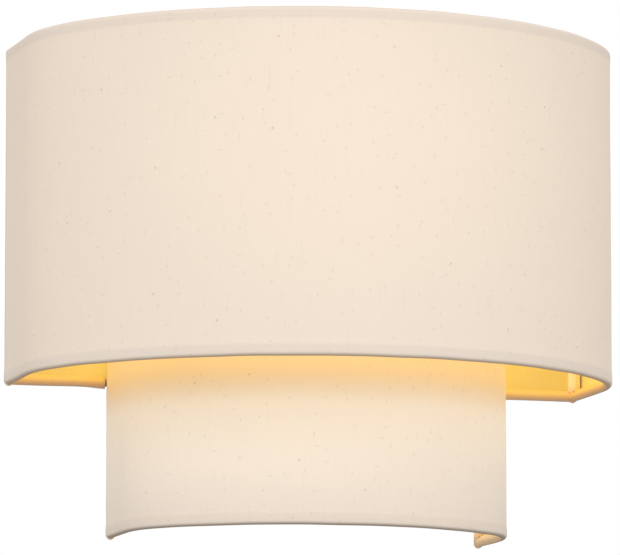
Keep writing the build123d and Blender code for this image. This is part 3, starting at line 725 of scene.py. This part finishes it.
def plated_finish(name, bright, dull, roughness):
    """Plated metal: cloudy plating with fine drawn lines."""
    finish = Finish(name, Metallic=1.0)
    cloudy = finish.noise(finish.place, 120.0, detail=5.0)
    lines = finish.noise(finish.stretched(finish.place, 250.0, 250.0, 4000.0), 1.0, detail=3.0)
    finish.set(Base_Color=finish.mix(cloudy, dull, bright))
    finish.set(Roughness=roughness + 0.22 * lines * cloudy)
    finish.bump(lines, 0.02 * mm, 0.2)
    return finish.material


def moulded_finish(name, colour, roughness, grain=900.0):
    """Moulded plastic or unglazed ceramic: a fine matte grain and faint flow marks."""
    finish = Finish(name, Specular_IOR_Level=0.45)
    fine = finish.noise(finish.place, grain, detail=3.0)
    flow = finish.noise(finish.stretched(finish.place, 30.0, 30.0, 110.0), 1.0, detail=4.0)
    darker = tuple(0.86 * c for c in colour)
    finish.set(Base_Color=finish.mix(flow, darker, colour))
    finish.set(Roughness=roughness + 0.15 * fine)
    finish.bump(fine, 0.03 * mm, 0.25)
    return finish.material


def earth_finish():
    """Earth core: green with a yellow stripe that follows its length."""
    finish = Finish("earth_sheath", Roughness=0.5)
    _, y, z = finish.split(finish.place)
    stripe = ((y + z * 0.6) * 2600.0).math("SINE").ramp(-0.1, 0.1)
    green, yellow = (0.05, 0.30, 0.06), (0.78, 0.66, 0.06)
    finish.set(Base_Color=finish.mix(stripe, green, yellow))
    return finish.material


def globe_finish():
    """Frosted globe, lit from inside: paler towards its top."""
    finish = Finish("globe_lit", Roughness=0.35, Base_Color=(0.9, 0.86, 0.78))
    z = finish.split(finish.place)[2]
    light = finish.mix(z.ramp(0.012, 0.040), (1.0, 0.70, 0.34), (1.0, 0.86, 0.60))
    frost = finish.noise(finish.place, 1800.0)
    finish.glow(finish.scaled(light, 0.92 + 0.08 * frost), 2.6)
    finish.bump(frost, 0.02 * mm, 0.2)
    return finish.material


def dress_hardware():
    """Gives each node that stays its own finish."""
    finishes = {
        plated_finish("drawn_wire", (0.30, 0.25, 0.20), (0.13, 0.10, 0.08), 0.42): [
            "upper_bottom_hoop", "upper_top_hoop", "upper_bottom_rail", "upper_top_rail",
            "upper_left_post", "upper_right_post", "lower_bottom_hoop", "lower_top_hoop",
            "lower_top_rail", "lower_left_post", "lower_right_post", "left_tie_bar",
            "right_tie_bar",
        ],
        paint_finish("hanger_coat", (0.80, 0.79, 0.76), (0.74, 0.72, 0.66)): ["hanger_bar"],
        paint_finish("fitting_coat", (0.78, 0.78, 0.76), (0.70, 0.70, 0.67), 0.30): [
            "wall_plate", "arm_tube",
        ],
        plated_finish("zinc_plate", (0.70, 0.71, 0.73), (0.46, 0.48, 0.52), 0.30): [
            "mounting_strap", "strap_studs", "arm_lock_nut", "terminal_fixing_screw",
            "lampholder_grub_screw", "left_nut_washer", "right_nut_washer",
        ],
        plated_finish("nickel_plate", (0.78, 0.74, 0.68), (0.60, 0.57, 0.52), 0.18): [
            "left_knurled_nut", "right_knurled_nut", "arm_collar",
        ],
        plated_finish("plain_brass", (0.78, 0.58, 0.26), (0.52, 0.37, 0.16), 0.25): [
            "earth_screw", "terminal_screws", "lampholder_contact", "lampholder_thread_sleeve",
            "bulb_contact",
        ],
        plated_finish("drawn_aluminium", (0.80, 0.80, 0.81), (0.62, 0.62, 0.64), 0.25): ["bulb_cap"],
        moulded_finish("holder_moulding", (0.80, 0.79, 0.76), 0.28): [
            "lampholder_cap", "lampholder_skirt",
        ],
        moulded_finish("collar_moulding", (0.84, 0.83, 0.80), 0.32): ["bulb_collar"],
        moulded_finish("bare_ceramic", (0.72, 0.69, 0.62), 0.70, 1500.0): [
            "lampholder_insulator", "bulb_cap_insulator",
        ],
        moulded_finish("block_moulding", (0.66, 0.66, 0.62), 0.45): ["terminal_block"],
        moulded_finish("sheath", (0.70, 0.70, 0.68), 0.50, 400.0): ["lamp_lead"],
        moulded_finish("live_sheath", (0.22, 0.09, 0.04), 0.45, 400.0): ["live_core"],
        moulded_finish("neutral_sheath", (0.05, 0.14, 0.42), 0.45, 400.0): ["neutral_core"],
        moulded_finish("solder_mask", (0.80, 0.80, 0.77), 0.40): ["bulb_board"],
        moulded_finish("phosphor", (0.86, 0.62, 0.10), 0.55): ["bulb_light_chips"],
        earth_finish(): ["earth_core"],
        globe_finish(): ["bulb_globe"],
        film_finish("upper_film", strength=0.80, reach=0.135): ["upper_liner"],
        film_finish("rear_film", strength=0.72, reach=0.110): ["rear_liner"],
        film_finish("lower_film", strength=0.60, reach=0.120): ["lower_liner"],
    }
    for material, names in finishes.items():
        for name in names:
            nodes[name].data.materials.clear()
            nodes[name].data.materials.append(material)


# ---- stage ---------------------------------------------------------------------------

FLOOR_HALF, FLOOR_HEIGHT = 60.0, -1.9
ROOM_WHITE, ROOM_LIGHT = (1.0, 1.0, 1.0, 1.0), (0.96, 0.98, 1.0, 1.0)
ROOM_STRENGTH = 0.875
SOFT_LAMPS = (  # name, place, size and watts
    ("key", (-1.4, -2.6, 1.3), 1.8, 32.0),
    ("fill", (1.8, -2.2, 0.4), 1.6, 10.0),
)
BULB_WATTS = 0.20
BULB_COLOUR = (1.0, 0.55, 0.12)
BULB_LIGHT = (LAMP[0], LAMP[1], LAMP[2] + 0.05)  # clear of the globe, above it
BULB_SOFTNESS = 0.028


def make_floor():
    signs = [(-1, -1), (1, -1), (1, 1), (-1, 1)]
    corners = [(FLOOR_HALF * x, FLOOR_HALF * y, FLOOR_HEIGHT) for x, y in signs]
    mesh = bpy.data.meshes.new("floor")
    mesh.from_pydata(corners, [], [(0, 1, 2, 3)])
    finish = Finish("pale_floor", Roughness=0.8)
    cloudy = finish.noise(finish.place, 3.0)
    finish.set(Base_Color=finish.mix(cloudy, (0.66, 0.65, 0.64), (0.69, 0.68, 0.67)))
    mesh.materials.append(finish.material)
    add_object("floor", mesh)


def make_room():
    """Even pale surroundings, seen as white."""
    world = bpy.data.worlds.new("studio")
    world.use_nodes = True
    tree = world.node_tree
    tree.nodes.clear()
    output = tree.nodes.new("ShaderNodeOutputWorld")
    seen = tree.nodes.new("ShaderNodeBackground")
    lights = tree.nodes.new("ShaderNodeBackground")
    choose = tree.nodes.new("ShaderNodeMixShader")
    path = tree.nodes.new("ShaderNodeLightPath")
    seen.inputs["Color"].default_value = ROOM_WHITE
    lights.inputs["Color"].default_value = ROOM_LIGHT
    lights.inputs["Strength"].default_value = ROOM_STRENGTH
    tree.links.new(path.outputs["Is Camera Ray"], choose.inputs[0])
    tree.links.new(lights.outputs[0], choose.inputs[1])
    tree.links.new(seen.outputs[0], choose.inputs[2])
    tree.links.new(choose.outputs[0], output.inputs[0])
    bpy.context.scene.world = world
    bpy.context.scene.view_settings.view_transform = "Standard"


def make_lamps():
    """Two soft lamps aimed at the frame's origin, and the bulb's own light."""
    for name, place, size, watts in SOFT_LAMPS:
        data = bpy.data.lights.new(name, "AREA")
        data.size = size
        data.energy = watts
        lamp = add_object(name, data)
        lamp.location = place
        away = np.array(place) / np.linalg.norm(place)
        lamp.rotation_euler = (math.acos(away[2]), 0, math.atan2(away[0], -away[1]))

    data = bpy.data.lights.new("bulb_light", "POINT")
    data.energy = BULB_WATTS
    data.color = BULB_COLOUR
    data.shadow_soft_size = BULB_SOFTNESS
    add_object("bulb_light", data).location = BULB_LIGHT


# ---- making --------------------------------------------------------------------------

make_camera()
upper = Tier("upper", *UPPER_PLAN)
lower = Tier("lower", *LOWER_PLAN)

upper_light = upper_glow(upper, strength=0.172, reach=0.108, inside=0.42)
lower_light = lower_glow(lower, strength=0.25, spill=0.36, inside=0.34)
rear_light = upper_glow(upper, strength=0.12, reach=0.100, inside=0.37)
upper_cloth = cloth_finish("upper_cloth_lit", UPPER_TURNED, upper_light)
lower_cloth = cloth_finish("lower_cloth_lit", LOWER_TURNED, lower_light)
rear_cloth = cloth_finish("rear_cloth_lit", UPPER_TURNED, rear_light)
tape_cloth = cloth_finish("tape_cloth_lit", UPPER_TURNED, tape_glow(inside=0.50))

make_round_wall(upper, 11, upper_cloth)
make_round_wall(lower, 21, lower_cloth)
make_rear_wall(upper, lower.post_x, rear_cloth)
stitch_thread = thread_finish()
for tier, lamp_tint, lamp_colour, inside in (
    (upper, UPPER_TURNED, LAMP_PEACH, 0.62),
    (lower, LOWER_TURNED, LAMP_CREAM, 0.34),
):
    wrap_cloth = cloth_finish(f"{tier.name}_wrap_lit", lamp_tint, post_glow(tier, lamp_colour, inside))
    for hand in ("left", "right"):
        make_binding(tier, hand, wrap_cloth)
        make_whipping(tier, hand, stitch_thread)
for hand in ("left", "right"):
    make_seam_tape(hand, tape_cloth)
dress_hardware()
make_floor()
make_room()
make_lamps()
